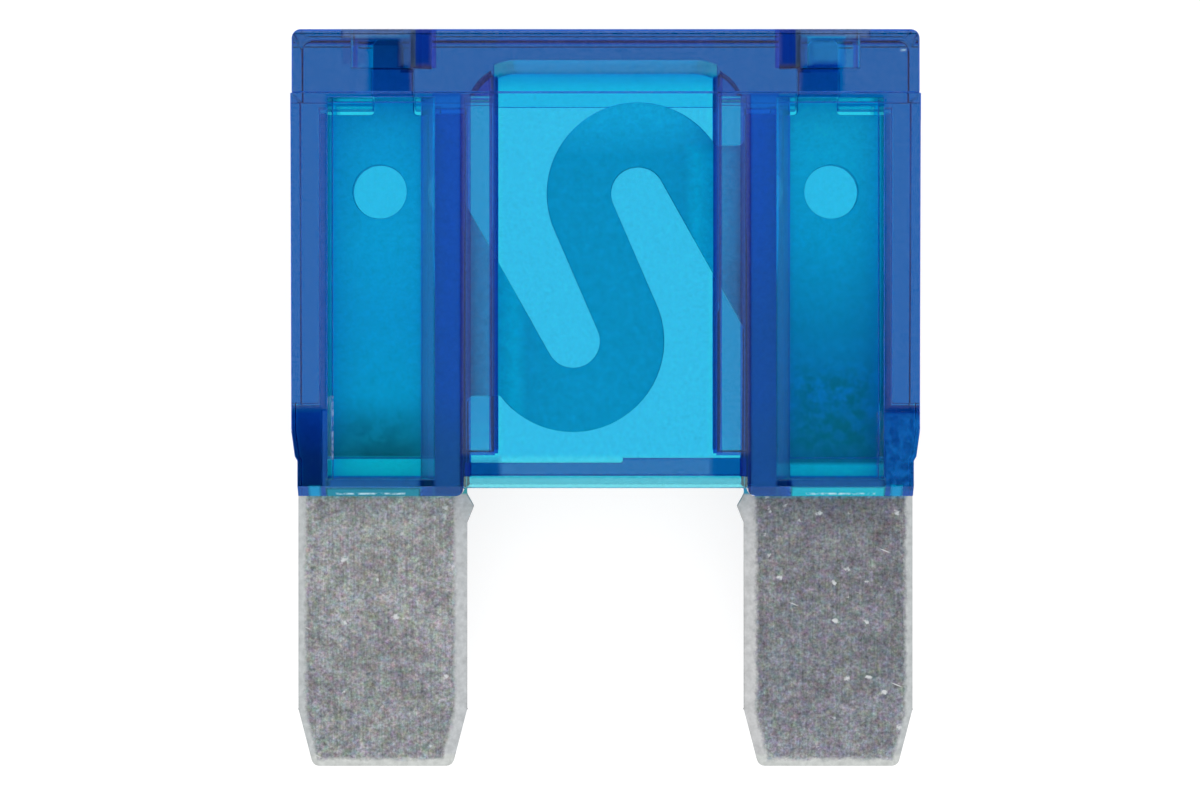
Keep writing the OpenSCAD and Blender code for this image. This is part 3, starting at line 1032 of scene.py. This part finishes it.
@dataclass
class SoftEdged:
    """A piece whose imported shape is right, but for its edges, which are never sharp."""

    finish: bpy.types.Material
    node: str = ""
    name: str = ""
    slot: str = ""
    edge_mm: float = 0.04
    segments: int = 2
    sharp_deg: float = 28.0
    smooth_deg: float = 47.0
    flat_rad: float = 0.0005
    weld_mm: float = 0.0001
    level_weight: int = 100

    def build(self) -> bpy.types.Object:
        """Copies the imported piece, merges its loose triangles and softens its edges.

        Returns:
            The new piece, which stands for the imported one.
        """
        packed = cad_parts[self.node]
        piece = bpy.data.objects.new(self.name, packed.data.copy())
        piece.data.name = self.name
        bpy.context.scene.collection.objects.link(piece)
        self.dress(piece)
        bpy.ops.object.select_all(action="DESELECT")
        piece.select_set(True)
        bpy.context.view_layer.objects.active = piece
        bpy.ops.object.mode_set(mode="EDIT")
        bpy.ops.mesh.select_all(action="SELECT")
        bpy.ops.mesh.customdata_custom_splitnormals_clear()
        bpy.ops.mesh.remove_doubles(threshold=self.weld_mm * MM)
        bpy.ops.mesh.dissolve_limited(angle_limit=self.flat_rad)
        bpy.ops.mesh.select_all(action="SELECT")
        bpy.ops.mesh.normals_make_consistent(inside=False)
        bpy.ops.object.mode_set(mode="OBJECT")
        soften = piece.modifiers.new("soft edges", "BEVEL")
        soften.width = self.edge_mm * MM
        soften.segments = self.segments
        soften.limit_method = "ANGLE"
        soften.angle_limit = math.radians(self.sharp_deg)
        soften.use_clamp_overlap = False
        bpy.ops.object.modifier_apply(modifier=soften.name)
        bpy.ops.object.shade_smooth_by_angle(angle=math.radians(self.smooth_deg))
        level = piece.modifiers.new("flat faces stay flat", "WEIGHTED_NORMAL")
        level.weight = self.level_weight
        level.keep_sharp = True
        bpy.ops.object.modifier_apply(modifier=level.name)
        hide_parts(self.node)
        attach(piece, BODY)
        return piece

    def dress(self, piece: bpy.types.Object) -> None:
        """Gives the piece its finish.

        Args:
            piece: The object to dress.
        """
        piece.data.materials.clear()
        piece.data.materials.append(self.finish)


@dataclass
class Housing(SoftEdged):
    """The moulded body: head, legs, chamber with its ribs, pockets and probe wells."""

    node: str = "housing"
    name: str = "clear_housing"
    slot: str = "blue_plastic"


@dataclass
class ClosingBar(SoftEdged):
    """The bar between the legs that closes the chamber under the link."""

    node: str = "closing_bar"
    name: str = "mouth_bar"
    slot: str = "blue_bar"


@dataclass
class FuseElement(SoftEdged):
    """The stamping: two blades, the S-shaped link between them and the two probe tabs."""

    node: str = "fuse_element"
    name: str = "zinc_element"
    slot: str = "zinc"


@dataclass
class Stage:
    """The table, the light and the camera."""

    camera_x: float = -0.26 * MM
    camera_y: float = 0.065 * MM
    metal_plane_z: float = 4.45 * MM
    camera_above_metal: float = 155.5 * MM
    focal_px: float = 3273.0
    photo_width_px: float = 1200.0
    sensor_mm: float = 36.0
    clip_start: float = 0.005
    floor_size: float = 3.0
    floor_drop: float = 0.02 * MM
    # The table takes the fuse's shadow on its grey, and its glow makes it white around it
    floor_colour: str = "#9A9A9A"
    floor_glow: float = 0.75
    seen_white: float = 1.0
    light: float = 1.32

    def add_camera(self) -> None:
        """Puts the camera straight above the fuse, as far off as the photo's perspective shows."""
        data = bpy.data.cameras.new("camera")
        data.sensor_width = self.sensor_mm
        data.sensor_fit = "HORIZONTAL"
        data.lens = self.focal_px / self.photo_width_px * self.sensor_mm
        data.clip_start = self.clip_start
        camera = bpy.data.objects.new("camera", data)
        height = self.metal_plane_z + self.camera_above_metal
        camera.location = (self.camera_x, self.camera_y, height)
        bpy.context.scene.collection.objects.link(camera)
        bpy.context.scene.camera = camera

    def add_floor(self) -> None:
        """Lays the white table, which keeps the fuse's shadow and is white behind the plastic."""
        bpy.ops.object.select_all(action="DESELECT")
        bpy.ops.mesh.primitive_plane_add(size=self.floor_size, location=(0, 0, 0))
        floor = bpy.context.object
        floor.name = "table"
        for vertex in floor.data.vertices:
            vertex.co.z = -self.floor_drop
        # Smooth painted board, which gives the eye an even white with a soft contact shadow
        material, tree = empty_material("white table")
        # Bounced light finds so large and even a glow by itself, and in much less time
        material.cycles.emission_sampling = "NONE"
        pure = linear(WHITE)
        way = add_node(tree, "ShaderNodeLightPath")
        paper = add_node(tree, "ShaderNodeBsdfDiffuse", {"Color": linear(self.floor_colour)})
        glow = add_node(tree, "ShaderNodeEmission", {"Color": pure, "Strength": self.floor_glow})
        both = add_node(
            tree, "ShaderNodeAddShader", links={0: paper.outputs[0], 1: glow.outputs[0]}
        )
        white = add_node(tree, "ShaderNodeEmission", {"Color": pure, "Strength": self.seen_white})
        seen = add_node(
            tree,
            "ShaderNodeMath",
            {"operation": "MAXIMUM"},
            {0: way.outputs["Is Glossy Ray"], 1: way.outputs["Is Transmission Ray"]},
        )
        pick = add_node(
            tree,
            "ShaderNodeMixShader",
            links={0: seen.outputs[0], 1: both.outputs[0], 2: white.outputs[0]},
        )
        add_node(tree, "ShaderNodeOutputMaterial", links={"Surface": pick.outputs[0]})
        floor.data.materials.append(material)

    def add_world(self) -> None:
        """Surrounds the table with soft even light, which the camera sees as white."""
        world = bpy.data.worlds.new("soft light")
        bpy.context.scene.world = world
        world.use_nodes = True
        tree = world.node_tree
        tree.nodes.clear()
        pure = linear(WHITE)
        soft = add_node(tree, "ShaderNodeBackground", {"Color": pure, "Strength": self.light})
        plain = add_node(
            tree, "ShaderNodeBackground", {"Color": pure, "Strength": self.seen_white}
        )
        way = add_node(tree, "ShaderNodeLightPath")
        pick = add_node(
            tree,
            "ShaderNodeMixShader",
            links={0: way.outputs["Is Camera Ray"], 1: soft.outputs[0], 2: plain.outputs[0]},
        )
        add_node(tree, "ShaderNodeOutputWorld", links={"Surface": pick.outputs[0]})

    def build(self) -> None:
        """Sets up the whole stage."""
        self.add_camera()
        self.add_floor()
        self.add_world()
        bpy.context.scene.view_settings.view_transform = "Standard"


def main() -> None:
    """Builds and dresses the fuse, sets the stage and logs each piece's face count."""
    logging.basicConfig(level=logging.INFO, format="%(message)s")
    plastic = ClearPolycarbonate().build()
    metal = StampedZinc().build()
    for part in (Housing(plastic), ClosingBar(plastic), FuseElement(metal)):
        piece = part.build()
        LOG.info("%s: %d faces, %s", piece.name, len(piece.data.polygons), part.finish.name)
    Stage().build()


if __name__ == "__main__":
    main()
